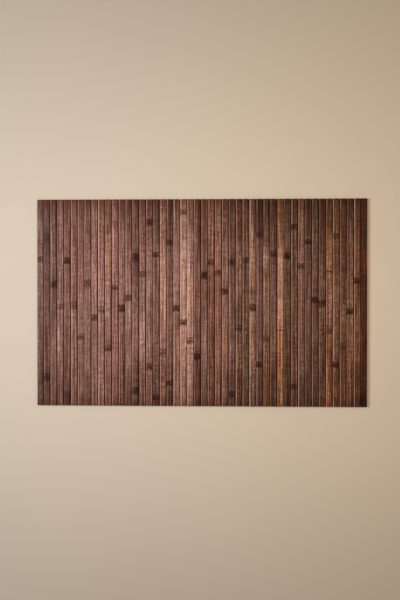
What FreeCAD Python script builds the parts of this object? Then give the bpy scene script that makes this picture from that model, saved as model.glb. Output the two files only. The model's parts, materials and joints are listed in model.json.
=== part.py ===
import FreeCAD, Part

import math
import os

# A roll-up floor mat of bamboo slats. The slats lie side by side and are glued to a woven scrim, which
# is backed with a non-slip sheet. +X runs across the slats, +Y along them and +Z up, and the origin is
# on the floor under the middle of the mat. All sizes are in millimetres.

# The whole mat
MAT_WIDTH = 797.0  # across the slats
SLAT_LENGTH = 500.0
NARROWEST_TRIM = 5.0  # the first slat is trimmed to what the full ones leave, but never below this

# One slat, in section: flat below, planed to a low crown above, with eased long edges
SLAT_WIDTH = 15.65
SLAT_GAP = 1.02  # open joint between two slats, where the mat bends
SLAT_THICKNESS = 4.2  # at the top of the crown
CROWN_HEIGHT = 0.3
EDGE_RADIUS = 1.0
END_EASE = 0.5  # bevel round the sawn ends

# A knuckle of the cane: a sharp scar ridge and a low round ridge beside it, with a valley between
SCAR_RISE = 0.35
RIDGE_RISE = 0.25
VALLEY_RISE = 0.05
SCAR_FLANK = 2.5  # how far each side of the scar ridge runs out along the slat
RIDGE_FLANK = 4.0
RIDGE_MARGIN = 0.2  # the ridges stop this far short of the rounded long edges
KNUCKLE_ROOT = 1.0  # how deep a knuckle is let into its slat before the two are joined

# The backing
SCRIM_THICKNESS = 0.4
SHEET_THICKNESS = 1.4
BACKING_INSET = 1.5  # the backing stops this far inside the slats' outline

# Where the valley of each knuckle lies along its slat, from the slat's middle, for the slats in order
# from the trimmed one. The cane's own spacing is 270 to 380, so a slat holds one or two.
KNUCKLES = [
    [106],
    [156, -179],
    [45],
    [-10],
    [103, -218],
    [-5],
    [-80],
    [48],
    [-37],
    [-17],
    [-109],
    [38],
    [-13],
    [12],
    [111, -213],
    [70],
    [195, -155],
    [118, -228],
    [-119],
    [147, -194],
    [-13],
    [219, -47],
    [-90],
    [-129],
    [67],
    [99],
    [72],
    [27],
    [99, -220],
    [-59],
    [103],
    [-10],
    [164, -148],
    [-85],
    [120],
    [-63],
    [115],
    [183, -201],
    [89],
    [147],
    [7],
    [-3],
    [79],
    [161, -148],
    [-102],
    [-20],
    [55],
    [-97],
]


def crown_radius(width):
    """The radius of a slat's crown, from its width and how far the middle stands above the corners."""
    half = width / 2
    return (half**2 + CROWN_HEIGHT**2) / (2 * CROWN_HEIGHT)


def slat_blank(left, width):
    """A slat's section carried along Y: flat below, crowned above, its long edges rounded into the crown."""
    bottom = SHEET_THICKNESS + SCRIM_THICKNESS
    top = bottom + SLAT_THICKNESS
    half = width / 2
    middle = left + half
    crown = crown_radius(width)
    edge_x = half - EDGE_RADIUS
    drop = math.sqrt((crown - EDGE_RADIUS) ** 2 - edge_x**2)
    edge_z = top - crown + drop
    lean = math.atan2(drop, edge_x)

    def on_edge(angle):
        return edge_x + EDGE_RADIUS * math.cos(angle), edge_z + EDGE_RADIUS * math.sin(angle)

    def point(x, z):
        return FreeCAD.Vector(middle + x, -SLAT_LENGTH / 2, z)

    bend_x, bend_z = on_edge(lean / 2)
    meet_x, meet_z = on_edge(lean)
    outline = [
        Part.LineSegment(point(-half, bottom), point(half, bottom)),
        Part.LineSegment(point(half, bottom), point(half, edge_z)),
        Part.Arc(point(half, edge_z), point(bend_x, bend_z), point(meet_x, meet_z)),
        Part.Arc(point(meet_x, meet_z), point(0, top), point(-meet_x, meet_z)),
        Part.Arc(point(-meet_x, meet_z), point(-bend_x, bend_z), point(-half, edge_z)),
        Part.LineSegment(point(-half, edge_z), point(-half, bottom)),
    ]
    face = Part.Face(Part.Wire([line.toShape() for line in outline]))
    return face.extrude(FreeCAD.Vector(0, SLAT_LENGTH, 0))


def knuckle(left, width, valley):
    """The two ridges of a knuckle, turned about the crown's own axis between the slat's rounded edges."""
    top = SHEET_THICKNESS + SCRIM_THICKNESS + SLAT_THICKNESS
    middle = left + width / 2

    def point(y, z):
        return FreeCAD.Vector(middle, valley + y, top + z)

    foot = point(-2 * SCAR_FLANK, 0)
    scar = point(-SCAR_FLANK, SCAR_RISE)
    dip = point(0, VALLEY_RISE)
    crest = point(RIDGE_FLANK, RIDGE_RISE)
    head = point(2 * RIDGE_FLANK, 0)
    foot_root = point(-2 * SCAR_FLANK, -KNUCKLE_ROOT)
    head_root = point(2 * RIDGE_FLANK, -KNUCKLE_ROOT)
    profile = [
        Part.LineSegment(foot_root, foot),
        Part.LineSegment(foot, scar),
        Part.LineSegment(scar, dip),
        Part.Arc(dip, crest, head),
        Part.LineSegment(head, head_root),
        Part.LineSegment(head_root, foot_root),
    ]
    face = Part.Face(Part.Wire([line.toShape() for line in profile]))
    centre = FreeCAD.Vector(middle, 0, top - crown_radius(width))
    along = FreeCAD.Vector(0, 1, 0)
    reach = width / 2 - EDGE_RADIUS - RIDGE_MARGIN
    half_sweep = math.degrees(math.asin(reach / crown_radius(width)))
    face.rotate(centre, along, -half_sweep)
    return face.revolve(centre, along, 2 * half_sweep)


def end_bevel(left, width, end):
    """What is sanded off the top edge at one sawn end of a slat; end is +1 or -1."""
    top = SHEET_THICKNESS + SCRIM_THICKNESS + SLAT_THICKNESS
    corners = [(0, -END_EASE), (0, END_EASE), (-2 * END_EASE, END_EASE)]
    points = [FreeCAD.Vector(left, end * (SLAT_LENGTH / 2 + y), top + z) for y, z in corners]
    face = Part.Face(Part.makePolygon(points + points[:1]))
    return face.extrude(FreeCAD.Vector(width, 0, 0))


def slat(left, width, valleys):
    """One bamboo slat, bevelled at its sawn ends, with each knuckle that lies whole between them."""
    blank = slat_blank(left, width)
    blank = blank.cut([end_bevel(left, width, end) for end in (-1, 1)])
    room = SLAT_LENGTH / 2 - 2 * END_EASE - 2 * max(SCAR_FLANK, RIDGE_FLANK)
    ridges = [knuckle(left, width, valley) for valley in valleys if abs(valley) < room]
    return blank.fuse(ridges) if ridges else blank


def backing(bottom, thickness):
    """One layer of the backing, under all the slats."""
    length = MAT_WIDTH - 2 * BACKING_INSET
    depth = SLAT_LENGTH - 2 * BACKING_INSET
    return Part.makeBox(length, depth, thickness, FreeCAD.Vector(-length / 2, -depth / 2, bottom))


def build():
    os.makedirs("parts", exist_ok=True)
    pitch = SLAT_WIDTH + SLAT_GAP
    full_slats = math.floor((MAT_WIDTH - NARROWEST_TRIM) / pitch)
    left = -MAT_WIDTH / 2
    for number in range(1, full_slats + 2):
        width = MAT_WIDTH - full_slats * pitch if number == 1 else SLAT_WIDTH
        piece = slat(left, width, KNUCKLES[(number - 1) % len(KNUCKLES)])
        piece.exportStep(f"parts/slat_{number:02d}.step")
        left += width + SLAT_GAP
    backing(0.0, SHEET_THICKNESS).exportStep("parts/nonslip_sheet.step")
    backing(SHEET_THICKNESS, SCRIM_THICKNESS).exportStep("parts/woven_scrim.step")


build()
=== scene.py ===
import json
import math

import bmesh
import bpy
from bpy.props import FloatProperty, FloatVectorProperty, IntProperty, PointerProperty
from mathutils import Matrix, Vector, noise


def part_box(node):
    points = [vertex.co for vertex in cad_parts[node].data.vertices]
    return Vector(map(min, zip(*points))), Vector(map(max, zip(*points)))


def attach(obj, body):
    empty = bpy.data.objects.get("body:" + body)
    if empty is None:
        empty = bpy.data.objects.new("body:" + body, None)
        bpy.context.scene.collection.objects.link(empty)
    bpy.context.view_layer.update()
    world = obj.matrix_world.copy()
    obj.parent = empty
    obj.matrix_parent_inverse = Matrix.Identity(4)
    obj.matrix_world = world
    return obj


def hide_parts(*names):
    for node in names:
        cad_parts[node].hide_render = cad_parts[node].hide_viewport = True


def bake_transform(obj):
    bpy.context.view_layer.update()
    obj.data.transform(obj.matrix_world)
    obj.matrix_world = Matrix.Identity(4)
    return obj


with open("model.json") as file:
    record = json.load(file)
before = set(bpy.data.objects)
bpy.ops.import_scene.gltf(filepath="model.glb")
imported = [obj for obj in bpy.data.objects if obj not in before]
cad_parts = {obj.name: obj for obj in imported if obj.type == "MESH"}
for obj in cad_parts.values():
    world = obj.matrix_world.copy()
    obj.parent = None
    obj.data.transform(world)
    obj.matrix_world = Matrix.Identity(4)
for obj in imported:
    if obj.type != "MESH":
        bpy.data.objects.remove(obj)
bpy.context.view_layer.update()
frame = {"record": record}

bl_info = {
    "name": "Bamboo slat mat",
    "version": (1, 0, 0),
    "blender": (4, 5, 0),
    "location": "3D Viewport > Sidebar > Slat mat",
    "description": "Dresses a roll-up floor mat of stained bamboo slats on a scrim and a non-slip sheet",
    "category": "Add Mesh",
}

# How each slat was stained, in order from the trimmed one. Hues and shades run along the slat from its
# head, at +Y, to its foot: a letter for the hue and a figure for the shade, from 0, dark, to 9, light.
# Then how pale the line inside its left edge is, cane rubbed bare with a painted highlight, 0 to 5, how
# dark it is beside the gap on its right, with soaked stain and painted shade of the gap, 0 to 4, and the
# knuckles: the place of each in millimetres from the slat's middle, how dark the stain took over it, 0 to
# 4, and how dark it lies along the ridges, 0 to 4.
CANE_CARD = (
    ("ppppp", "66654", 0, 3, ((106, 3, 1),)),
    ("ppprr", "45564", 1, 3, ((156, 1, 0), (-179, 2, 3))),
    ("ppprr", "56565", 2, 4, ((45, 3, 2),)),
    ("ppppr", "77786", 0, 4, ((-10, 2, 1),)),
    ("rrrrr", "66765", 1, 4, ((103, 4, 3), (-218, 1, 0))),
    ("rrppr", "68776", 3, 4, ((-5, 2, 2),)),
    ("rrrrr", "67766", 3, 1, ((-80, 2, 2),)),
    ("rrppr", "57775", 2, 4, ((48, 2, 2),)),
    ("trrrr", "78877", 2, 3, ((-37, 3, 3),)),
    ("rpprr", "78877", 4, 3, ((-17, 1, 3),)),
    ("utprr", "79877", 1, 4, ((-109, 3, 1),)),
    ("rrrrr", "78786", 2, 4, ((38, 2, 3),)),
    ("rrrru", "67776", 3, 2, ((-13, 4, 2),)),
    ("rrrrr", "67775", 2, 2, ((12, 3, 3),)),
    ("rrppr", "55674", 2, 4, ((111, 4, 3), (-213, 3, 3))),
    ("rrppr", "67796", 2, 4, ((70, 2, 3),)),
    ("rpppr", "67776", 3, 1, ((195, 3, 2), (-155, 3, 2))),
    ("rrrrr", "46664", 1, 4, ((118, 3, 2), (-228, 3, 2))),
    ("uttru", "79986", 3, 3, ((-119, 1, 4),)),
    ("rrrrr", "46664", 2, 1, ((147, 3, 2), (-194, 3, 2))),
    ("tpprr", "68887", 3, 0, ((-13, 4, 3),)),
    ("tbbtt", "89897", 5, 0, ((219, 2, 3), (-47, 3, 4))),
    ("tpbpt", "79998", 3, 1, ((-90, 2, 4),)),
    ("srrrs", "46643", 2, 4, ((-129, 4, 1),)),
    ("rrrpr", "66675", 2, 0, ((67, 4, 4),)),
    ("srsss", "67754", 1, 4, ((99, 3, 2),)),
    ("rtrtr", "67786", 2, 4, ((72, 3, 1),)),
    ("opptt", "47785", 3, 3, ((27, 4, 1),)),
    ("rpppp", "46664", 2, 4, ((99, 3, 1), (-220, 3, 1))),
    ("aooos", "36554", 4, 1, ((-59, 1, 3),)),
    ("uoooo", "35543", 2, 1, ((103, 2, 1),)),
    ("otooo", "58775", 4, 2, ((-10, 3, 2),)),
    ("srprp", "15653", 2, 2, ((164, 2, 2), (-148, 4, 2))),
    ("uotua", "37765", 1, 0, ((-85, 2, 2),)),
    ("spptu", "35663", 1, 4, ((120, 3, 1),)),
    ("atbaa", "69997", 2, 0, ((-63, 0, 3),)),
    ("ooooo", "34432", 1, 2, ((115, 4, 1),)),
    ("uoouu", "35554", 2, 3, ((183, 3, 2), (-201, 3, 2))),
    ("uptpp", "57764", 3, 0, ((89, 2, 4),)),
    ("sttrr", "34543", 1, 2, ((147, 3, 4),)),
    ("ooroo", "34443", 2, 1, ((7, 4, 1),)),
    ("uooou", "35543", 1, 4, ((-3, 4, 1),)),
    ("aasaa", "37777", 3, 0, ((79, 0, 4), (-63, 2, 1))),
    ("auuus", "45654", 3, 0, ((161, 2, 0), (-148, 4, 3))),
    ("aauaa", "35544", 2, 0, ((-102, 1, 2),)),
    ("uuuss", "35664", 1, 1, ((-20, 4, 3),)),
    ("aaaaa", "36562", 3, 0, ((55, 4, 0),)),
    ("mmmmm", "12221", 0, 2, ((-97, 0, 0),)),
)

# Where stain has pooled in a longer smudge: for a slat, the middle and half length of each smudge in
# millimetres, how dark it is, 1 to 3, and which way it leans across the slat, -1 to 1.
SMUDGES = {
    2: ((150, 45, 2, 0),),
    5: ((82, 18, 2, 0.5), (-232, 26, 3, 0)),
    15: ((90, 32, 3, 0.3), (122, 12, 2, 0)),
    18: ((-238, 16, 2, 0.3),),
    20: ((-225, 22, 2, 0),),
    21: ((-48, 26, 2, 0.2),),
    26: ((112, 14, 1, 0.6),),
    29: ((99, 26, 1, 0),),
    30: ((-66, 20, 1, 0),),
    31: ((27, 9, 2, 0.3), (95, 22, 1, 0)),
    32: ((24, 28, 1, 0),),
    33: ((225, 32, 2, 0),),
    40: ((235, 20, 2, 0),),
    42: ((2, 16, 1, 0.2),),
    43: ((-118, 10, 2, 0), (-60, 8, 1, 0)),
    44: ((126, 14, 2, 0), (156, 18, 1, 0)),
    45: ((242, 12, 2, 0),),
    46: ((240, 14, 2, 0),),
    48: ((-232, 24, 3, 0),),
}
HUES = {
    "p": "plum",
    "r": "rose",
    "t": "tan",
    "b": "blond",
    "o": "olive",
    "u": "umber",
    "s": "russet",
    "a": "amber",
    "m": "mahogany",
}
PLAIN_SHADE = 6  # the figure at which a hue stands as its own colour is written
SHADE_STEP = 1.31  # how much lighter each figure is than the one below it
STAIN_DEPTH = Vector((0.95, 1.05, 1.15))  # the step's power in red, green and blue: a dark coat is redder
FULL_FIGURE = 4  # the figure at which an edge's rubbed line with painted highlight, or its soaked stain with painted shade, is in full
OPEN_HUES = "uoasm"  # the hues that bring the grain out
OPEN_GRAIN, CLOSED_GRAIN = 1.4, 1.08  # how strong the grain is in them and in the others, as a power

SLAT_COUNT = len(CANE_CARD)
SLOT_OF = {part["node"]: part["material_slot"] for part in frame["record"]["subparts"]}

# How finely the slats are cut, in metres
CLOSE_PITCH, WIDE_PITCH = 0.0005, 0.004  # between the cuts along a slat, at a knuckle and elsewhere
CLOSE_REACH = 0.011  # how far from a knuckle the close cuts go
END_ROOM = 0.002  # how near to a sawn end a stretch of close cuts may stop
SHORT_EDGE = 0.003  # shorter edges belong to a bevel and are left whole
CROSS_CUTS = 11  # how often the top of a slat is cut across its width
TOUCHING = 1e-6  # places closer than this are one

# How hand planing wanders, in waves a metre: over the top, across and along the slat, and along its edges.
# The seeds keep the slats apart, and the two edges of one slat.
TOP_WAVES, EDGE_WAVES = (90, 14), 22
TOP_SEED, EDGE_SEED, SIDE_SEED = 7.3, 3.7, 3.1

# How a slat is marked for its stain and for the painted shade at its ends, in metres and in strengths from 0
# to 1
KNUCKLE_FADE = (0.018, 0.024)  # how far from a knuckle its marks are whole, and where they are gone
KNUCKLE_FAR = 0.03  # places further from a knuckle than this are all the same to it
BAND_LEAST, BAND_STEP = 0.14, 0.215  # a knuckle's band at figure 0, and what each figure adds
LINE_LEAST, LINE_STEP = 0.1, 0.22  # the same for the lines along its ridges
END_SHADE_REACH = 0.06  # how far from a sawn end the slat is painted darker, as shade
FOOT_SHADE = 0.8  # how dark the painted shade at the foot of a slat is beside that at its head
SAWN_SKIN = 0.0001  # what lies nearer than this to a sawn end shows the end grain
SMUDGE_STEPS = 3  # the figure of the darkest smudge
SMUDGE_CORE = 0.35  # the part of a smudge's half length that is whole

# Where a strip of backing is cut across its fold, in parts of the fold's reach
SCRIM_FOLDS = (-1, -0.65, -0.35, -0.12, 0.12, 0.35, 0.65, 1)
SHEET_FOLDS = (-1, -0.55, 0.55, 1)

# The layers of the grain: waves a metre across, along and through a slat, detail and roughness
GRAIN = {
    "Fibre": ((2100, 26, 2100), 3, 0.6),
    "Vein": ((820, 16, 820), 2, 0.5),
    "Streak": ((310, 3.4, 310), 2, 0.6),
    "Fleck": ((760, 210, 760), 2, 0.6),
    "Nap": ((35, 150, 35), 2, 0.6),
    "Cloud": ((22, 24, 22), 3, 0.55),
    "Flush": ((160, 9, 160), 2, 0.5),
}
# How far each layer lightens and darkens the stain, beside the streaks
GRAIN_DEPTH = {"Vein": 0.57, "Fleck": 0.50, "Nap": 0.22, "Fibre": 0.42, "Cloud": 0.13}
GRAIN_POWER = {"Red": 0.82, "Green": 1.1, "Blue": 1.25}  # dark grain is redder too
PORES, PORE_EDGE, PORE_TONE = (2600, 190, 2600), (0.64, 0.74), 0.72  # their waves, cut and darkness
FLUSH_EDGE, FLUSH_TONE = (0.42, 0.68), (1.18, 0.92, 0.74)  # what a warm flush does to the stain
SMUDGE_COAT, RUB_AND_HIGHLIGHT_COAT, EYE_COAT = 0.75, 0.84, 1.5  # how strongly each covers the stain; the rubbed line also carries a painted highlight
BUNDLES, CELLS = 1500.0, 1600.0  # fibre bundles of the end grain and cells of the foam, a metre

# The marks of a knuckle, in metres along the slat from its valley. The lines along its ridges have a place,
# a width and a strength each.
BAND_HEAD, BAND_FOOT = (0.0085, 0.0062), (-0.0115, -0.0075)  # where its dark band starts and is whole
RIDGE_LINES = ((-0.0030, 0.0030, 1.0), (0.0052, 0.0024, 0.5), (-0.0080, 0.0022, 0.3))
LINE_BOW = 0.0009  # how far the lines bow towards the edges of the slat
EYE_PLACE, EYE_RIM, EYE_CORE = 0.001, 0.0036, 0.0020
EYE_WIDTH = 0.0065  # what half the width of the slat counts for beside an eye

# Across a slat, from -1 at its left edge to 1 at its right: the two sides of the pale stripe, cane rubbed
# bare with a painted highlight, and where the dark edge, soaked stain with painted shade of the gap, starts
# and is whole. Then how much further in it goes on each side, soaked in full.
RUB_AND_HIGHLIGHT_OUTSIDE, RUB_AND_HIGHLIGHT_INSIDE = (-0.86, -0.79), (-0.58, -0.68)
SOAK_AND_SHADE_RIGHT, SOAK_AND_SHADE_LEFT = (0.99, 1.02), (0.98, 1.02)
RIGHT_GAIN, LEFT_GAIN = 0.022, 0.24

# What each group of nodes reads off a slat: its inputs, and the marks on the slat that feed them
SLAT_MARKS = {
    "Cane fibre": {"Slat": "slat_number"},
    "Knuckle burn": {
        "Slat": "slat_number",
        "Along": "knuckle_along",
        "Across": "across",
        "Band": "knuckle_band",
        "Line": "knuckle_line",
    },
    "Edge rub": {"Across": "across", "Rubbed": "rubbed", "Left": "soaked_left", "Right": "soaked_right"},
}

# The bamboo of each slot: its material, streaks, warm flushes and roughness
BAMBOOS = {
    "bamboo_plum": ("Plum bamboo", 0.54, 0.12, 0.42),
    "bamboo_rose": ("Rose bamboo", 0.54, 0.16, 0.42),
    "bamboo_caramel": ("Caramel bamboo", 0.52, 0.24, 0.43),
    "bamboo_russet": ("Russet bamboo", 0.56, 0.55, 0.45),
    "bamboo_umber": ("Umber bamboo", 0.56, 0.45, 0.46),
    "bamboo_olive": ("Olive bamboo", 0.54, 0.35, 0.46),
}

# The floor, in metres
FLOOR_HALF = 4.0
FLOOR_DROP = 0.0003  # how far it lies below the mat, so that their faces never meet
LIGHT_POOL_MIDDLE, LIGHT_POOL_SHAPE = (-0.08, 0, 0), (0.78, 1, 1)  # the painted pool of light on the floor, an oval
LIGHT_POOL_FADE, POOL_PAINTED_SHADE = (0.1, 1.0), 0.64  # how it fades, and the painted shade of the floor outside it
FAR_PAINTED_LIGHT_FADE, FAR_PAINTED_LIGHT = (0.86, 1.4), 1.35  # where painted light makes the floor lighter again, and by how much
BACKDROP_FADE = (0.86, 1.22)  # where it runs into the backdrop

# The lamps: name, place, width, power in watts, and the setting that holds the colour
LAMPS = (
    ("window_lamp", (-1.7, 0.2, 1.5), 0.9, 46.0, "daylight"),
    ("fill_lamp", (0.9, 0.6, 2.3), 1.2, 14.5, "fill"),
)
ROOM_POWER = 0.34

LENS, SENSOR_WIDTH = 49.6, 36.0  # millimetres
NEAREST, FURTHEST = 0.01, 50.0  # what the camera sees, in metres
CAMERA_AIM = Vector((-0.0023, 0.0065, 0.006))
CAMERA_ROLL = 0.024  # degrees


def paint(red, green, blue):
    """A colour from the shade card, 11 to 255 a channel, with the sRGB curve undone as Blender keeps it."""
    return tuple(((channel / 255 + 0.055) / 1.055) ** 2.4 for channel in (red, green, blue))


def length(name, default, description):
    """A setting that holds a size in metres."""
    return FloatProperty(
        name=name, description=description, default=default, min=0.0, precision=5, subtype="DISTANCE"
    )


def colour(name, default, description):
    """A setting that holds a colour."""
    return FloatVectorProperty(
        name=name, description=description, default=default, min=0.0, max=1.0, size=3, subtype="COLOR"
    )


class SlatSettings(bpy.types.PropertyGroup):
    """Sizes of the bamboo slats."""

    thickness: length("Thickness", 0.0042, "From the slat's flat underside to the top of its crown")
    crown: length("Crown", 0.0003, "How far the middle of a slat stands above its shoulders")
    edge_radius: length("Edge radius", 0.001, "Rounding of the two long upper edges")
    edge_margin: length("Edge margin", 0.0006, "How far from a long edge the knuckles start to rise")
    flat_margin: length("Flat margin", 0.0022, "How far from a long edge the knuckles reach their height")
    under_ease: length("Under ease", 0.0003, "Sanding of the two long lower edges")
    end_ease: length("End ease", 0.0004, "Sanding round the sawn ends")
    scar_rise: length("Scar rise", 0.00033, "Height of the sharp ridge of a knuckle")
    scar_flank: length("Scar flank", 0.0025, "How far each side of the sharp ridge runs out")
    scar_crest: length("Scar crest", 0.0002, "Half the width of the sharp ridge's crest")
    ridge_rise: length("Ridge rise", 0.00023, "Height of the rounder ridge beside it")
    ridge_flank: length("Ridge flank", 0.004, "How far each side of the rounder ridge runs out")
    valley_rise: length("Valley rise", 0.00005, "Height of the valley between the two ridges")
    top_waver: length("Top waver", 0.000042, "How deep the planing of the top wanders")
    edge_waver: length("Edge waver", 0.00007, "How far the long edges wander")


class StainSettings(bpy.types.PropertyGroup):
    """Colours of the stained cane at the plain shade, and what more stain, wear and painted light and shade
    do to them.
    """

    plum: colour("Plum", paint(120, 84, 72), "Greyed plum stain")
    rose: colour("Rose", paint(120, 81, 67), "Rosy brown stain")
    tan: colour("Tan", paint(120, 83, 66), "Tan stain")
    blond: colour("Blond", paint(135, 96, 78), "Thinly stained pale cane")
    olive: colour("Olive", paint(121, 85, 67), "Olive brown stain")
    umber: colour("Umber", paint(121, 81, 63), "Umber stain")
    russet: colour("Russet", paint(121, 77, 58), "Russet stain")
    amber: colour("Amber", paint(121, 77, 50), "Amber stain")
    mahogany: colour("Mahogany", paint(121, 66, 38), "Mahogany stain")
    # Painted highlight and wear: the pale line inside a slat's left edge
    raw_and_highlight: colour("Raw", paint(208, 166, 146), "Cane showing where an edge is rubbed")
    burnt: colour("Burnt", (0.24, 0.14, 0.06), "What stain gathered round a knuckle does to a slat's colour")
    lined: colour("Lined", (0.18, 0.13, 0.09), "What stain caught along a ridge does to it")
    # Soaked stain and painted shade of the gaps: the dark line at a slat's edges
    soaked_and_shaded: colour("Soaked and shaded", (0.44, 0.075, 0.02), "What deeply soaked stain does to it")
    # Painted shade: what darkens a slat towards its sawn ends
    end_shade: colour("End shade", (0.50, 0.35, 0.24), "What the darker stain near a sawn end does to it")


class BackingSettings(bpy.types.PropertyGroup):
    """Sizes and colours of the scrim and the non-slip sheet."""

    fold: length("Fold", 0.002, "How far each side of a joint the backing bends")
    thread_pitch: length("Thread pitch", 0.0011, "Spacing of the scrim's threads")
    pad_rows: IntProperty(name="Pad rows", description="Pads of the sheet along a slat", default=60, min=1)
    pad_width: length("Pad width", 0.0084, "Width of a pad on the underside of the sheet")
    groove: length("Groove", 0.0006, "Half the width of the groove between two pads")
    groove_depth: length("Groove depth", 0.00035, "Depth of the groove between two pads")
    thread: colour("Thread", paint(106, 38, 12), "Scrim thread")
    thread_dust: colour("Thread dust", paint(120, 104, 92), "Dust caught in the scrim")
    rubber: colour("Rubber", paint(64, 56, 51), "Non-slip sheet")
    rubber_dust: colour("Rubber dust", paint(132, 120, 108), "Dust on the non-slip sheet")


class StageSettings(bpy.types.PropertyGroup):
    """The floor, lamps and camera."""

    floor: colour("Floor", paint(224, 203, 179), "Pale painted floor")
    backdrop: colour("Backdrop", paint(222, 205, 184), "What lies beyond the floor")
    daylight: colour("Daylight", (0.68, 0.82, 1.0), "Soft window light from the left")
    fill: colour("Fill light", (1.0, 0.82, 0.52), "Lamp light from the right")
    room: colour("Room light", (1.0, 0.88, 0.74), "Light from the room all round")
    camera_height: length("Camera height", 2.0, "Camera above the floor")
    camera_side: length("Camera side", 0.0793, "Camera to the right of the mat's middle")
    camera_back: length("Camera back", 0.0237, "Camera behind the mat's middle")


# Modelling


def smooth(value, low, high):
    """0 up to low, 1 from high, and an even rise between."""
    t = min(1.0, max(0.0, (value - low) / (high - low)))
    return t * t * (3 - 2 * t)


def fade(distance, whole, gone):
    """1 as far as whole to either side, 0 from gone on, and an even fall between."""
    return smooth(-abs(distance), -gone, -whole)


def wander(x, y, z):
    """A soft noise about a half."""
    return 0.5 + 0.5 * noise.noise(Vector((x, y, z)))


def edges_along(bm, axis):
    """The edges that lie along an axis, 0 to 2."""
    return [e for e in bm.edges if abs((e.verts[1].co - e.verts[0].co)[axis]) > 0.999 * e.calc_length()]


def cut_across(bm, places, axis):
    """Cuts the mesh with a plane at each place along an axis."""
    for place in places:
        point, facing = Vector((0, 0, 0)), Vector((0, 0, 0))
        point[axis], facing[axis] = place, 1
        everything = bm.verts[:] + bm.edges[:] + bm.faces[:]
        bmesh.ops.bisect_plane(bm, geom=everything, dist=TOUCHING, plane_co=point, plane_no=facing)


def block(bm, low, high):
    """A plain block between two corners."""
    bmesh.ops.create_cube(bm, size=1.0)
    bmesh.ops.scale(bm, vec=high - low, verts=bm.verts)
    bmesh.ops.translate(bm, vec=(low + high) / 2, verts=bm.verts)


def ease(bm, edges, radius, segments):
    """Rounds edges off."""
    shape = {"offset": radius, "offset_type": "OFFSET", "segments": segments, "profile": 0.5}
    bmesh.ops.bevel(bm, geom=edges, affect="EDGES", clamp_overlap=True, material=-1, **shape)


def saw_slat(low, high, sizes):
    """A slat still flat on top: its long edges rounded above and eased below, and its ends eased."""
    bm = bmesh.new()
    block(bm, low, high)
    middle = (low.z + high.z) / 2
    upper = [e for e in edges_along(bm, 1) if e.verts[0].co.z > middle]
    ease(bm, upper, sizes.edge_radius, 5)
    lower = [e for e in edges_along(bm, 1) if e.verts[0].co.z < low.z + TOUCHING]
    ease(bm, lower, sizes.under_ease, 2)
    ends = (low.y, high.y)
    rims = [e for end in ends for e in bm.edges if all(abs(v.co.y - end) < TOUCHING for v in e.verts)]
    ease(bm, rims, sizes.end_ease, 2)
    return bm


def cut_finely(bm, low, high, knuckles):
    """Cuts a sawn slat small enough to plane: across its top, and along it, closest at its knuckles."""
    middle = (low.z + high.z) / 2
    upper = [e for e in edges_along(bm, 0) if e.verts[0].co.z > middle and e.calc_length() > SHORT_EDGE]
    bmesh.ops.subdivide_edges(bm, edges=upper, cuts=CROSS_CUTS, use_grid_fill=True)
    borders = [k + side * CLOSE_REACH for k in knuckles for side in (-1, 1)]
    cut_across(bm, [b for b in borders if low.y + END_ROOM < b < high.y - END_ROOM], 1)
    # The edges side by side make one stretch. Their middles agree to a hundredth of a millimetre.
    stretches = {}
    for edge in edges_along(bm, 1):
        if edge.calc_length() > SHORT_EDGE:
            place = round((edge.verts[0].co.y + edge.verts[1].co.y) / 2, 5)
            stretches.setdefault(place, []).append(edge)
    for place, edges in stretches.items():
        close = min(abs(place - k) for k in knuckles) < CLOSE_REACH
        pitch = CLOSE_PITCH if close else WIDE_PITCH
        cuts = max(1, round(edges[0].calc_length() / pitch) - 1)
        bmesh.ops.subdivide_edges(bm, edges=edges, cuts=cuts, use_grid_fill=True)


def knuckle_rise(along, sizes):
    """How high a knuckle stands at a distance along the slat from its valley."""
    scar = sizes.scar_rise * fade(along + sizes.scar_flank, sizes.scar_crest, sizes.scar_flank)
    ridge = sizes.ridge_rise * fade(along - sizes.ridge_flank, 0.0, sizes.ridge_flank)
    valley = sizes.valley_rise * fade(along, 0.0, sizes.ridge_flank)
    return max(scar, ridge, valley)


def plane_slat(bm, number, low, high, sizes, knuckles):
    """Gives a slat its crown, its knuckles and the slight wander of hand planing."""
    centre, half = (low.x + high.x) / 2, (high.x - low.x) / 2
    for vert in bm.verts:
        x, y = vert.co.x - centre, vert.co.y
        height = (vert.co.z - low.z) / (high.z - low.z)
        shoulder = fade(x, half - sizes.flat_margin, half - sizes.edge_margin)
        top = wander(x * TOP_WAVES[0], y * TOP_WAVES[1], number * TOP_SEED)
        knuckle = max(knuckle_rise(y - k, sizes) for k in knuckles)
        rise = shoulder * (knuckle - sizes.top_waver * top) - sizes.crown * (x / half) ** 2
        edge = wander(math.copysign(SIDE_SEED, x), y * EDGE_WAVES, number * EDGE_SEED)
        vert.co.x -= math.copysign(sizes.edge_waver * edge * min(1.0, abs(x) / half), x)
        vert.co.z += rise * height


def along_card(letters, y, low, high):
    """Which entry of a slat's card a place lies just past, and how far it is from there to the next."""
    t = (high.y - y) / (high.y - low.y) * len(letters) - 0.5
    t = min(max(t, 0.0), len(letters) - 1.0)
    first = min(int(t), len(letters) - 2)
    return first, smooth(t - first, 0.0, 1.0)


def stain_tone(hue, shade):
    """The colour of a hue at a shade of the card."""
    base = getattr(bpy.context.scene.slat_mat_stains, HUES[hue])
    coats = int(shade) - PLAIN_SHADE
    return Vector(part * SHADE_STEP ** (coats * depth) for part, depth in zip(base, STAIN_DEPTH))


def smudge_at(number, x, y):
    """How dark the smudges of a slat are at a place on it, x from -1 to 1 across the slat and y in metres."""
    dark = 0.0
    for middle, reach, strength, lean in SMUDGES.get(number, ()):
        along = fade(y - middle / 1000, SMUDGE_CORE * reach / 1000, reach / 1000)
        dark = max(dark, along * strength / SMUDGE_STEPS * max(0.0, 1 - abs(lean) + lean * x))
    return dark


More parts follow.
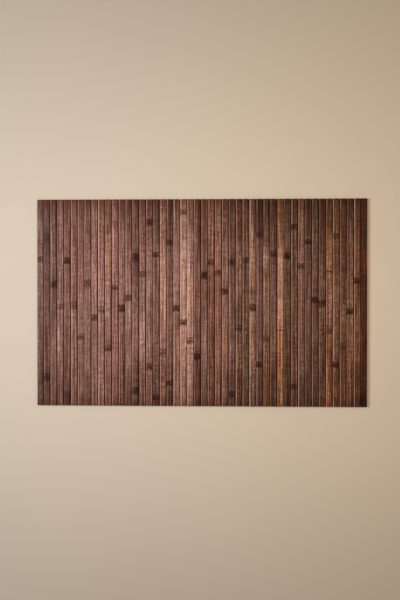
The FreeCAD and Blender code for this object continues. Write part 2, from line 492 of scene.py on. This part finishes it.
def mark_slat(mesh, number, low, high):
    """Writes what the stain and its painted light and shade need on the slat: its colour, and how each place
    lies to knuckles, edges and ends.
    """
    hues, shades, rubbed, soaked_and_shaded, knuckles = CANE_CARD[number - 1]
    soaked_left = CANE_CARD[max(number - 2, 0)][3]
    tones = [stain_tone(hue, shade) for hue, shade in zip(hues, shades)]
    grains = [OPEN_GRAIN if hue in OPEN_HUES else CLOSED_GRAIN for hue in hues]
    centre, half = (low.x + high.x) / 2, (high.x - low.x) / 2
    colours, marks = [], []
    for vert in mesh.vertices:
        x, y = (vert.co.x - centre) / half, vert.co.y
        head, foot = high.y - y, y - low.y
        first, part = along_card(shades, y, low, high)
        colours.extend((*tones[first].lerp(tones[first + 1], part), 1.0))
        along, band, line = min(((y - k / 1000, b, n) for k, b, n in knuckles), key=lambda k: abs(k[0]))
        near = fade(along, *KNUCKLE_FADE)
        marks.append({
            "slat_number": number,
            "across": x,
            "coarse": grains[first] * (1 - part) + grains[first + 1] * part,
            "rubbed": rubbed / FULL_FIGURE,
            "soaked_left": soaked_left / FULL_FIGURE,
            "soaked_right": soaked_and_shaded / FULL_FIGURE,
            "knuckle_along": max(-KNUCKLE_FAR, min(KNUCKLE_FAR, along)),
            "knuckle_band": near * (BAND_LEAST + BAND_STEP * band),
            "knuckle_line": near * (LINE_LEAST + LINE_STEP * line),
            "smudge": smudge_at(number, x, y),
            "end_near": max(1 - head / END_SHADE_REACH, FOOT_SHADE - foot / END_SHADE_REACH, 0.0),
            "sawn": min(head, foot) < SAWN_SKIN,
        })
    mesh.attributes.new("stain", "FLOAT_COLOR", "POINT").data.foreach_set("color", colours)
    for name in marks[0]:
        values = [float(mark[name]) for mark in marks]
        mesh.attributes.new(name, "FLOAT", "POINT").data.foreach_set("value", values)


def finish_piece(bm, name, material):
    """Turns a bmesh into a named piece with one material."""
    bmesh.ops.recalc_face_normals(bm, faces=bm.faces)
    # The cutting leaves the faces in a chance order. No two have the same first edge, so that sorts them.
    bm.verts.index_update()
    count = len(bm.verts)
    bm.faces.sort(key=lambda face: face.verts[0].index * count + face.verts[1].index)
    mesh = bpy.data.meshes.new(name)
    bm.to_mesh(mesh)
    bm.free()
    mesh.materials.append(material)
    piece = bpy.data.objects.new(name, mesh)
    bpy.context.scene.collection.objects.link(piece)
    return piece


# Materials


def put(tree, kind, wires=None, **settings):
    """Adds a node; wires has its inputs by name or number, each a socket to join or a plain value."""
    node = tree.nodes.new("ShaderNode" + kind)
    for key, value in settings.items():
        setattr(node, key, value)
    for key, value in (wires or {}).items():
        if isinstance(value, bpy.types.NodeSocket):
            tree.links.new(value, node.inputs[key])
        else:
            node.inputs[key].default_value = value
    return node


def maths(tree, operation, first, second=0.0, third=0.0):
    """One step of arithmetic."""
    return put(tree, "Math", {0: first, 1: second, 2: third}, operation=operation).outputs[0]


def times(tree, first, second):
    """A product."""
    return maths(tree, "MULTIPLY", first, second)


def spread(tree, value, low, high, to_low=0.0, to_high=1.0, kind="SMOOTHSTEP"):
    """Carries a value from one range to another."""
    wires = {0: value, 1: low, 2: high, 3: to_low, 4: to_high}
    return put(tree, "MapRange", wires, interpolation_type=kind).outputs[0]


def scale_to(tree, value, low, high):
    """Carries a value between 0 and 1 to a range of its own."""
    return spread(tree, value, 0, 1, low, high, "LINEAR")


def noise_to(tree, value, low, high):
    """Carries a noise, which seldom leaves 0.3 to 0.7, to a range of its own."""
    return spread(tree, value, 0.3, 0.7, low, high, "LINEAR")


def tint(tree, factor, under, over, kind="MIX"):
    """Lays one colour over another."""
    wires = {0: factor, 6: under, 7: over}
    return put(tree, "Mix", wires, data_type="RGBA", blend_type=kind).outputs[2]


def glaze(tree, under, over):
    """A colour seen through a clear coat of another."""
    return tint(tree, 1.0, under, over, "MULTIPLY")


def coat(tree, factor, under, over):
    """A colour with a clear coat of another, red, green and blue, over part of it."""
    return tint(tree, factor, under, glaze(tree, under, (*over, 1)))


def add_up(tree, first, second):
    """The sum of two places."""
    return put(tree, "VectorMath", {0: first, 1: second}, operation="ADD").outputs[0]


def distance_of(tree, place):
    """How far a place lies from the middle."""
    return put(tree, "VectorMath", {0: place}, operation="LENGTH").outputs["Value"]


def grain_noise(tree, place, waves, detail=2.0, roughness=0.5):
    """Noise stretched to a number of waves a metre along each axis."""
    stretched = put(tree, "Mapping", {"Vector": place, "Scale": waves}).outputs[0]
    wires = {"Vector": stretched, "Scale": 1.0, "Detail": detail, "Roughness": roughness}
    return put(tree, "TexNoise", wires).outputs[0]


def read_mark(tree, name, output="Fac"):
    """What was written on the mesh under a name."""
    return put(tree, "Attribute", attribute_name=name, attribute_type="GEOMETRY").outputs[output]


def new_group(name, takes, gives):
    """A node group that takes a place and some values and gives values, and its sockets for them."""
    group = bpy.data.node_groups.new(name, "ShaderNodeTree")
    group.interface.new_socket("Place", in_out="INPUT", socket_type="NodeSocketVector")
    for socket in takes:
        group.interface.new_socket(socket, in_out="INPUT", socket_type="NodeSocketFloat")
    for socket in gives:
        group.interface.new_socket(socket, in_out="OUTPUT", socket_type="NodeSocketFloat")
    return group, group.nodes.new("NodeGroupInput").outputs, group.nodes.new("NodeGroupOutput").inputs


def use_group(tree, name, place, wires):
    """Puts a node group into a tree, joined up."""
    return put(tree, "Group", {"Place": place, **wires}, node_tree=bpy.data.node_groups[name]).outputs


def make_fibre_group():
    """Bamboo's long grain: its layers, each slat's from another part of the cane, and short dark pores."""
    group, given, out = new_group("Cane fibre", SLAT_MARKS["Cane fibre"], [*GRAIN, "Pores"])
    shift = put(group, "CombineXYZ", {0: times(group, given["Slat"], 0.37), 1: given["Slat"]})
    place = add_up(group, given["Place"], shift.outputs[0])
    for name, layer in GRAIN.items():
        group.links.new(grain_noise(group, place, *layer), out[name])
    group.links.new(spread(group, grain_noise(group, place, PORES, 1), *PORE_EDGE), out["Pores"])


def knuckle_band(group, along, across, lean_luck, tip_luck):
    """The dark band over a knuckle, darker to one side and towards one end, as luck has it."""
    head = spread(group, along, *BAND_HEAD)
    foot = spread(group, along, *BAND_FOOT)
    lean = times(group, maths(group, "SUBTRACT", lean_luck, 0.35), across)
    side = maths(group, "MULTIPLY_ADD", lean, 0.5, 0.88)
    tip = times(group, maths(group, "SUBTRACT", tip_luck, 0.5), along)
    side = times(group, side, spread(group, tip, -0.004, 0.004, 0.6, 1.3, "LINEAR"))
    return times(group, times(group, head, foot), side)


def knuckle_eye(group, along, across, side_luck, luck):
    """The small dark eye that some knuckles have, where a branch stood."""
    off = maths(group, "SUBTRACT", across, scale_to(group, side_luck, -0.45, 0.45))
    wires = {0: times(group, off, EYE_WIDTH), 1: maths(group, "SUBTRACT", along, EYE_PLACE)}
    away = distance_of(group, put(group, "CombineXYZ", wires).outputs[0])
    return times(group, spread(group, away, EYE_RIM, EYE_CORE), spread(group, luck, 0.45, 0.6))


def ridge_lines(group, along):
    """The thin dark lines along the ridges of a knuckle."""
    lines = []
    for place, width, strength in RIDGE_LINES:
        off = maths(group, "ABSOLUTE", maths(group, "SUBTRACT", along, place))
        lines.append(spread(group, off, width, width / 4, 0.0, strength))
    return maths(group, "MAXIMUM", maths(group, "MAXIMUM", lines[0], lines[1]), lines[2])


def make_knuckle_group():
    """Where the stain gathers at a knuckle: a dark band, at times with an eye, and lines on its ridges."""
    group, given, out = new_group("Knuckle burn", SLAT_MARKS["Knuckle burn"], ["Burn", "Line"])
    across = given["Across"]
    place = add_up(group, given["Place"], put(group, "CombineXYZ", {0: given["Slat"]}).outputs[0])
    ragged = maths(group, "SUBTRACT", grain_noise(group, place, (300, 60, 300), 3, 0.6), 0.5)
    blotch = grain_noise(group, place, (420, 300, 420), 2, 0.6)
    rings = grain_noise(group, place, (90, 640, 90), 2, 0.6)
    drawn = put(group, "TexWhiteNoise", {"W": given["Slat"]}, noise_dimensions="1D").outputs
    luck = put(group, "SeparateColor", {0: drawn["Color"]}).outputs
    size = scale_to(group, luck[0], 0.78, 1.2)

    along = maths(group, "MULTIPLY_ADD", ragged, 0.010, given["Along"])
    along = maths(group, "DIVIDE", along, size)
    band = knuckle_band(group, along, across, drawn["Value"], luck[1])
    mottle = spread(group, blotch, 0.36, 0.6, 0.75, 1.15)
    mottle = times(group, mottle, spread(group, rings, 0.38, 0.58, 0.8, 1.1))
    eye = knuckle_eye(group, along, across, luck[1], luck[2])
    band = maths(group, "MAXIMUM", times(group, band, mottle), times(group, eye, EYE_COAT))
    group.links.new(times(group, band, given["Band"]), out["Burn"])

    bow = times(group, times(group, across, across), LINE_BOW)
    along = maths(group, "ADD", maths(group, "MULTIPLY_ADD", ragged, 0.004, given["Along"]), bow)
    lines = ridge_lines(group, maths(group, "DIVIDE", along, size))
    lines = times(group, lines, spread(group, blotch, 0.36, 0.54, 0.5, 1.0))
    group.links.new(times(group, lines, given["Line"]), out["Line"])


def make_edge_rub_and_light_group():
    """Edge wear and painted light: a pale line inside the left edge, rubbed bare and painted as a highlight,
    and both edges dark with soaked stain and painted shade of the gaps.
    """
    group, given, out = new_group("Edge rub", SLAT_MARKS["Edge rub"], ["Pale", "Dark"])
    ragged = maths(group, "SUBTRACT", grain_noise(group, given["Place"], (200, 40, 200), 3, 0.6), 0.5)
    across = maths(group, "MULTIPLY_ADD", ragged, 0.12, given["Across"])
    patchy = spread(group, grain_noise(group, given["Place"], (60, 13, 60), 2), 0.34, 0.6, 0.6, 1.15)
    stripe = times(group, spread(group, across, *RUB_AND_HIGHLIGHT_OUTSIDE), spread(group, across, *RUB_AND_HIGHLIGHT_INSIDE))
    pale = times(group, times(group, stripe, given["Rubbed"]), patchy)
    group.links.new(pale, out["Pale"])
    right = maths(group, "MULTIPLY_ADD", given["Right"], RIGHT_GAIN, across)
    leftward = times(group, given["Across"], -1.0)
    left = maths(group, "MULTIPLY_ADD", given["Left"], LEFT_GAIN, leftward)
    dark = maths(group, "MAXIMUM", spread(group, left, *SOAK_AND_SHADE_LEFT), spread(group, right, *SOAK_AND_SHADE_RIGHT))
    group.links.new(dark, out["Dark"])


def make_dust_group():
    """Fine dust and handling: a soft speckle and a broad unevenness."""
    group, given, out = new_group("Dust", ["Size"], ["Speck", "Haze"])
    wires = {0: given["Place"], "Scale": given["Size"]}
    place = put(group, "VectorMath", wires, operation="SCALE").outputs[0]
    group.links.new(spread(group, grain_noise(group, place, (900, 900, 900), 2), 0.55, 0.8), out["Speck"])
    group.links.new(grain_noise(group, place, (14, 14, 14), 3), out["Haze"])


def make_weave_group():
    """A plain weave, over one and under one: how high the threads stand, and which way the upper one runs."""
    group, given, out = new_group("Tabby weave", ["Pitch"], ["Height", "Warp"])
    parts = put(group, "SeparateXYZ", {0: given["Place"]}).outputs
    turns = []
    for axis in (0, 1):
        turn = times(group, maths(group, "DIVIDE", parts[axis], given["Pitch"]), math.pi)
        turns.append(maths(group, "SINE", turn))
    over = spread(group, times(group, turns[0], turns[1]), -0.02, 0.02)
    warp, weft = (maths(group, "ABSOLUTE", turn) for turn in turns)
    warp = times(group, warp, spread(group, over, 0, 1, 0.45, 1.0))
    weft = times(group, weft, spread(group, over, 0, 1, 1.0, 0.45))
    group.links.new(maths(group, "MAXIMUM", warp, weft), out["Height"])
    group.links.new(over, out["Warp"])


def new_material(name):
    """A material, its node tree and its shader."""
    material = bpy.data.materials.new(name)
    material.use_nodes = True
    tree = material.node_tree
    return material, tree, tree.nodes["Principled BSDF"]


def cover(tree, shader, base, rough, height, strength, depth):
    """Gives a shader its colour, its roughness and its fine relief, with its depth in metres."""
    tree.links.new(base, shader.inputs["Base Color"])
    tree.links.new(rough, shader.inputs["Roughness"])
    bump = put(tree, "Bump", {"Strength": strength, "Distance": depth, "Height": height})
    tree.links.new(bump.outputs[0], shader.inputs["Normal"])


def grain_shade(tree, grain, streak):
    """What the grain does to the stain, light and dark."""
    shade = noise_to(tree, grain["Streak"], 1 - streak, 1 + streak)
    for layer, depth in GRAIN_DEPTH.items():
        shade = times(tree, shade, noise_to(tree, grain[layer], 1 - depth, 1 + depth))
    shade = times(tree, shade, scale_to(tree, grain["Pores"], 1.0, PORE_TONE))
    shade = maths(tree, "POWER", shade, read_mark(tree, "coarse"))
    channels = {name: maths(tree, "POWER", shade, power) for name, power in GRAIN_POWER.items()}
    return put(tree, "CombineColor", channels).outputs[0]


def bamboo_stain(tree, place, grain, knuckle, edge_rub_and_light, streak, flush):
    """The colour of a slat, coat by coat, over the stain's own colour that the slat carries, with painted
    shade at its ends and edges and a painted highlight inside its left edge.
    """
    stains = bpy.context.scene.slat_mat_stains
    stain = glaze(tree, read_mark(tree, "stain", "Color"), grain_shade(tree, grain, streak))
    warm = times(tree, spread(tree, grain["Flush"], *FLUSH_EDGE), flush)
    stain = coat(tree, warm, stain, FLUSH_TONE)
    # Painted shade: darker towards the sawn ends, where less light falls
    end_shade = spread(tree, grain["Cloud"], 0.35, 0.65, -0.18, 0.12, "LINEAR")
    end_shade = spread(tree, maths(tree, "ADD", end_shade, read_mark(tree, "end_near")), 0.1, 1.15)
    stain = coat(tree, end_shade, stain, stains.end_shade)
    burnt = glaze(tree, stain, (*stains.burnt, 1))
    pooled = times(tree, read_mark(tree, "smudge"), spread(tree, grain["Fleck"], 0.36, 0.6, 0.35, 1.0))
    stain = tint(tree, times(tree, pooled, SMUDGE_COAT), stain, burnt)
    # The pale line inside the left edge: cane rubbed bare, with a painted highlight where it catches the
    # light
    stain = tint(tree, times(tree, edge_rub_and_light["Pale"], RUB_AND_HIGHLIGHT_COAT), stain, (*stains.raw_and_highlight, 1))
    # Both edges dark: soaked stain, with painted shade of the gaps between the slats
    stain = coat(tree, edge_rub_and_light["Dark"], stain, stains.soaked_and_shaded)
    stain = tint(tree, knuckle["Burn"], stain, burnt)
    stain = coat(tree, knuckle["Line"], stain, stains.lined)
    bundles = put(tree, "TexVoronoi", {"Vector": place, "Scale": BUNDLES}).outputs["Distance"]
    sawn = tint(tree, spread(tree, bundles, 0.25, 0.5, 0.9, 0.4), stain, burnt)
    return tint(tree, read_mark(tree, "sawn"), stain, sawn)


def stained_bamboo(name, streak, flush, gloss):
    """Stained, lacquered bamboo."""
    material, tree, shader = new_material(name)
    place = put(tree, "TexCoord").outputs["Object"]
    dust = use_group(tree, "Dust", place, {"Size": 1.0})
    effects = []
    for group, marks in SLAT_MARKS.items():
        wires = {socket: read_mark(tree, mark) for socket, mark in marks.items()}
        effects.append(use_group(tree, group, place, wires))
    grain, knuckle, edge_rub_and_light = effects
    stain = bamboo_stain(tree, place, grain, knuckle, edge_rub_and_light, streak, flush)
    rough = noise_to(tree, grain["Fibre"], gloss - 0.05, gloss + 0.08)
    rough = maths(tree, "MULTIPLY_ADD", knuckle["Burn"], 0.12, rough)
    rough = maths(tree, "MULTIPLY_ADD", dust["Speck"], 0.08, rough)
    height = maths(tree, "MULTIPLY_ADD", grain["Streak"], 0.5, grain["Fibre"])
    height = maths(tree, "MULTIPLY_ADD", grain["Pores"], -0.6, height)
    height = maths(tree, "MULTIPLY_ADD", knuckle["Line"], -1.4, height)
    cover(tree, shader, stain, rough, height, 0.5, 0.00012)
    shader.inputs["IOR"].default_value = 1.45
    shader.inputs["Specular IOR Level"].default_value = 0.12
    return material


def scrim_cloth():
    """Open woven cloth, soaked with dark glue, with painted shade where the threads sink beside each other.
    """
    backing = bpy.context.scene.slat_mat_backing
    material, tree, shader = new_material("Scrim cloth")
    laid = read_mark(tree, "laid", "Vector")
    weave = use_group(tree, "Tabby weave", laid, {"Pitch": backing.thread_pitch})
    dust = use_group(tree, "Dust", laid, {"Size": 1.0})
    thread = (*backing.thread, 1)
    # Painted shade: the thread darker where it sinks low beside its neighbour
    dark = glaze(tree, thread, (0.35, 0.35, 0.35, 1))
    cloth = tint(tree, spread(tree, weave["Height"], 0.2, 0.8), dark, thread)
    cloth = coat(tree, weave["Warp"], cloth, (1.18, 1.12, 1.05))
    cloth = tint(tree, times(tree, dust["Speck"], 0.25), cloth, (*backing.thread_dust, 1))
    rough = spread(tree, weave["Height"], 0, 1, 0.95, 0.8)
    cover(tree, shader, cloth, rough, weave["Height"], 0.8, 0.00015)
    shader.inputs["Specular IOR Level"].default_value = 0.1
    return material


def sheet_rubber():
    """Soft matt rubber foam with fine open cells, and painted shade in their hollows."""
    backing = bpy.context.scene.slat_mat_backing
    material, tree, shader = new_material("Non-slip rubber")
    laid = read_mark(tree, "laid", "Vector")
    dust = use_group(tree, "Dust", laid, {"Size": 1.0})
    cells = put(tree, "TexVoronoi", {"Vector": laid, "Scale": CELLS}).outputs["Distance"]
    shade = noise_to(tree, dust["Haze"], 0.82, 1.15)
    # Painted shade: darker in the hollows of the cells, lighter on their rims
    shade = times(tree, shade, spread(tree, cells, 0.1, 0.6, 0.82, 1.1))
    foam = glaze(tree, (*backing.rubber, 1), shade)
    foam = tint(tree, times(tree, dust["Speck"], 0.3), foam, (*backing.rubber_dust, 1))
    cover(tree, shader, foam, spread(tree, cells, 0, 0.7, 0.88, 0.7), cells, 0.5, 0.0001)
    return material


def seen_directly(tree):
    """1 for what the camera sees, straight or in something glossy or clear, and 0 for light on the mat."""
    ray = put(tree, "LightPath").outputs
    sharp = maths(tree, "MAXIMUM", ray["Is Glossy Ray"], ray["Is Transmission Ray"])
    return maths(tree, "MAXIMUM", ray["Is Camera Ray"], sharp)


def floor_board():
    """The floor, with a painted pool of light round the mat, painted shade outside it and painted light again
    further out. Far from the mat it runs into the backdrop.
    """
    stage = bpy.context.scene.slat_mat_stage
    material, tree, shader = new_material("Painted floor")
    place = put(tree, "TexCoord").outputs["Object"]
    dust = use_group(tree, "Dust", place, {"Size": 0.25})
    light_pool = put(tree, "Mapping", {"Vector": place, "Location": LIGHT_POOL_MIDDLE, "Scale": LIGHT_POOL_SHAPE}).outputs[0]
    away = distance_of(tree, light_pool)
    shade = noise_to(tree, dust["Haze"], 0.992, 1.008)
    # Painted light and shade: lighter in a pool round the mat, darker outside it and lighter again far off
    shade = times(tree, shade, spread(tree, away, *LIGHT_POOL_FADE, 1.0, POOL_PAINTED_SHADE))
    shade = times(tree, shade, spread(tree, away, *FAR_PAINTED_LIGHT_FADE, 1.0, FAR_PAINTED_LIGHT))
    tree.links.new(glaze(tree, (*stage.floor, 1), shade), shader.inputs["Base Color"])
    shader.inputs["Roughness"].default_value = 0.8
    shader.inputs["Specular IOR Level"].default_value = 0.2
    beyond = put(tree, "Emission", {"Color": (*stage.backdrop, 1), "Strength": 1.0}).outputs[0]
    far = times(tree, spread(tree, away, *BACKDROP_FADE), seen_directly(tree))
    mix = put(tree, "MixShader", {0: far, 1: shader.outputs[0], 2: beyond}).outputs[0]
    tree.links.new(mix, tree.nodes["Material Output"].inputs[0])
    return material


# Pieces


class SLATMAT_OT_slats(bpy.types.Operator):
    """Lay the stained bamboo slats over their solids"""

    bl_idname = "slatmat.slats"
    bl_label = "Lay the slats"

    def execute(self, context):
        sizes = context.scene.slat_mat_slats
        make_fibre_group()
        make_knuckle_group()
        make_edge_rub_and_light_group()
        make_dust_group()
        finishes = {slot: stained_bamboo(*bamboo) for slot, bamboo in BAMBOOS.items()}
        for number in range(1, SLAT_COUNT + 1):
            node = f"slat_{number:02d}"
            low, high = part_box(node)
            high.z = low.z + sizes.thickness
            knuckles = [place / 1000 for place, band, line in CANE_CARD[number - 1][4]]
            bm = saw_slat(low, high, sizes)
            cut_finely(bm, low, high, knuckles)
            plane_slat(bm, number, low, high, sizes, knuckles)
            for face in bm.faces:
                face.smooth = True
            piece = finish_piece(bm, f"bamboo_slat_{number:02d}", finishes[SLOT_OF[node]])
            mark_slat(piece.data, number, low, high)
            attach(piece, f"link_{number:02d}")
            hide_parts(node)
        return {"FINISHED"}


def strip_borders():
    """For each joint, where its strip of backing starts, folds and ends: from mid slat to mid slat."""
    low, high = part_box("woven_scrim")
    middles = [sum(corner.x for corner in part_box(f"slat_{n:02d}")) / 2 for n in range(1, SLAT_COUNT + 1)]
    middles[0], middles[-1] = low.x, high.x
    for number in range(1, SLAT_COUNT):
        fold = (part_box(f"slat_{number:02d}")[1].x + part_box(f"slat_{number + 1:02d}")[0].x) / 2
        yield number, middles[number - 1], fold, middles[number]


def cut_fold(bm, fold, steps):
    """Cuts a strip of backing across its fold, so that it can bend there."""
    reach = bpy.context.scene.slat_mat_backing.fold
    cut_across(bm, [fold + reach * step for step in steps], 0)


def note_laid(mesh):
    """Keeps each place of a strip as it lies flat, so that its pattern goes with it when it bends."""
    places = [c for vert in mesh.vertices for c in vert.co]
    mesh.attributes.new("laid", "FLOAT_VECTOR", "POINT").data.foreach_set("vector", places)


def bend_strip(piece, number, fold, node):
    """Keeps where each place of a strip lies flat, bakes its placing into its mesh and hides the solid it
    stands for.
    """
    note_laid(piece.data)
    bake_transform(piece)
    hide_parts(node)


class SLATMAT_OT_scrim(bpy.types.Operator):
    """Lay the woven scrim, a strip to each joint"""

    bl_idname = "slatmat.scrim"
    bl_label = "Lay the scrim"

    def execute(self, context):
        make_weave_group()
        cloth = scrim_cloth()
        low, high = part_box("woven_scrim")
        for number, start, fold, end in strip_borders():
            bm = bmesh.new()
            block(bm, Vector((start, low.y, low.z)), Vector((end, high.y, high.z)))
            cut_fold(bm, fold, SCRIM_FOLDS)
            piece = finish_piece(bm, f"scrim_strip_{number:02d}", cloth)
            bend_strip(piece, number, fold, "woven_scrim")
        return {"FINISHED"}


def pad_borders(start, fold, end, width):
    """Where the pads of a strip part across it: at its fold, and evenly from there to both of its ends."""
    borders = [fold]
    for side in (start, end):
        pads = max(1, round(abs(side - fold) / width))
        borders += [fold + (side - fold) * n / pads for n in range(1, pads)]
    return borders


def press_pads(bm, groove_top, backing):
    """Cuts the underside of a strip along its slats too, and parts its faces by grooves into pads."""
    bmesh.ops.subdivide_edges(bm, edges=edges_along(bm, 1), cuts=backing.pad_rows - 1, use_grid_fill=True)
    under = [f for f in bm.faces if f.calc_center_median().z < groove_top + TOUCHING]
    bmesh.ops.inset_individual(bm, faces=under, thickness=backing.groove, depth=0)
    pads = {vert for face in under for vert in face.verts}
    bmesh.ops.translate(bm, vec=(0, 0, -backing.groove_depth), verts=list(pads))


class SLATMAT_OT_sheet(bpy.types.Operator):
    """Mould the padded underside of the non-slip sheet, a strip to each joint"""

    bl_idname = "slatmat.sheet"
    bl_label = "Mould the non-slip sheet"

    def execute(self, context):
        backing = context.scene.slat_mat_backing
        rubber = sheet_rubber()
        low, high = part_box("nonslip_sheet")
        groove_top = low.z + backing.groove_depth
        for number, start, fold, end in strip_borders():
            bm = bmesh.new()
            block(bm, Vector((start, low.y, groove_top)), Vector((end, high.y, high.z)))
            cut_across(bm, pad_borders(start, fold, end, backing.pad_width), 0)
            press_pads(bm, groove_top, backing)
            cut_fold(bm, fold, SHEET_FOLDS)
            piece = finish_piece(bm, f"sheet_strip_{number:02d}", rubber)
            bend_strip(piece, number, fold, "nonslip_sheet")
        return {"FINISHED"}


# Stage


def lay_floor():
    """The floor, just under the mat."""
    bm = bmesh.new()
    bmesh.ops.create_grid(bm, x_segments=4, y_segments=4, size=FLOOR_HALF)
    bmesh.ops.translate(bm, vec=(0, 0, -FLOOR_DROP), verts=bm.verts)
    floor = finish_piece(bm, "floor", floor_board())


def light_room(scene, stage):
    """The room's own light on the mat, and the plain backdrop behind it."""
    world = bpy.data.worlds.new("Studio")
    world.use_nodes = True
    tree = world.node_tree
    light = tree.nodes["Background"]
    light.inputs[0].default_value = (*stage.room, 1)
    light.inputs[1].default_value = ROOM_POWER
    seen = put(tree, "Background", {0: (*stage.backdrop, 1), 1: 1.0})
    mix = put(tree, "MixShader", {0: seen_directly(tree), 1: light.outputs[0], 2: seen.outputs[0]})
    tree.links.new(mix.outputs[0], tree.nodes["World Output"].inputs[0])
    scene.world = world


def hang_lamp(scene, name, place, width, power, tone):
    """A round soft lamp that looks at the middle of the mat."""
    lamp = bpy.data.lights.new(name, "AREA")
    lamp.shape = "DISK"
    lamp.size = width
    lamp.energy = power
    lamp.color = tone
    holder = bpy.data.objects.new(name, lamp)
    holder.location = place
    holder.rotation_mode = "QUATERNION"
    holder.rotation_quaternion = (-Vector(place)).to_track_quat("-Z", "Y")
    scene.collection.objects.link(holder)


def set_camera(scene, stage):
    """The camera, which looks down from a little to the right and behind, and back at the mat's middle."""
    camera = bpy.data.objects.new("camera", bpy.data.cameras.new("camera"))
    scene.collection.objects.link(camera)
    camera.data.sensor_width = SENSOR_WIDTH
    camera.data.lens = LENS
    camera.data.clip_start, camera.data.clip_end = NEAREST, FURTHEST
    camera.location = Vector((stage.camera_side, stage.camera_back, stage.camera_height))
    back = (camera.location - CAMERA_AIM).normalized()
    right = Vector((0, 1, 0)).cross(back).normalized()
    turn = Matrix((right, back.cross(right), back)).transposed()
    turn = turn @ Matrix.Rotation(math.radians(CAMERA_ROLL), 3, "Z")
    camera.rotation_mode = "QUATERNION"
    camera.rotation_quaternion = turn.to_quaternion()
    scene.camera = camera


class SLATMAT_OT_stage(bpy.types.Operator):
    """Set the floor, the lamps and the camera"""

    bl_idname = "slatmat.stage"
    bl_label = "Set the stage"

    def execute(self, context):
        scene = context.scene
        stage = scene.slat_mat_stage
        lay_floor()
        light_room(scene, stage)
        for name, place, width, power, tone in LAMPS:
            hang_lamp(scene, name, place, width, power, getattr(stage, tone))
        set_camera(scene, stage)
        scene.view_settings.view_transform = "Standard"
        return {"FINISHED"}


class SLATMAT_PT_panel(bpy.types.Panel):
    """The steps of the build, and the settings of each"""

    bl_label = "Slat mat"
    bl_idname = "SLATMAT_PT_panel"
    bl_space_type = "VIEW_3D"
    bl_region_type = "UI"
    bl_category = "Slat mat"

    def draw(self, context):
        layout = self.layout
        for step in STEPS:
            layout.operator(step.bl_idname)
        for name in SETTINGS:
            settings = getattr(context.scene, name)
            box = layout.box()
            for prop in settings.__annotations__:
                box.prop(settings, prop)


STEPS = (SLATMAT_OT_slats, SLATMAT_OT_scrim, SLATMAT_OT_sheet, SLATMAT_OT_stage)
SETTINGS = {
    "slat_mat_slats": SlatSettings,
    "slat_mat_stains": StainSettings,
    "slat_mat_backing": BackingSettings,
    "slat_mat_stage": StageSettings,
}
CLASSES = (*SETTINGS.values(), *STEPS, SLATMAT_PT_panel)


def register():
    for each in CLASSES:
        bpy.utils.register_class(each)
    for name, kind in SETTINGS.items():
        setattr(bpy.types.Scene, name, PointerProperty(type=kind))


def unregister():
    for name in SETTINGS:
        delattr(bpy.types.Scene, name)
    for each in reversed(CLASSES):
        bpy.utils.unregister_class(each)


def main():
    register()
    bpy.ops.slatmat.slats()
    bpy.ops.slatmat.scrim()
    bpy.ops.slatmat.sheet()
    bpy.ops.slatmat.stage()


if __name__ == "__main__":
    main()
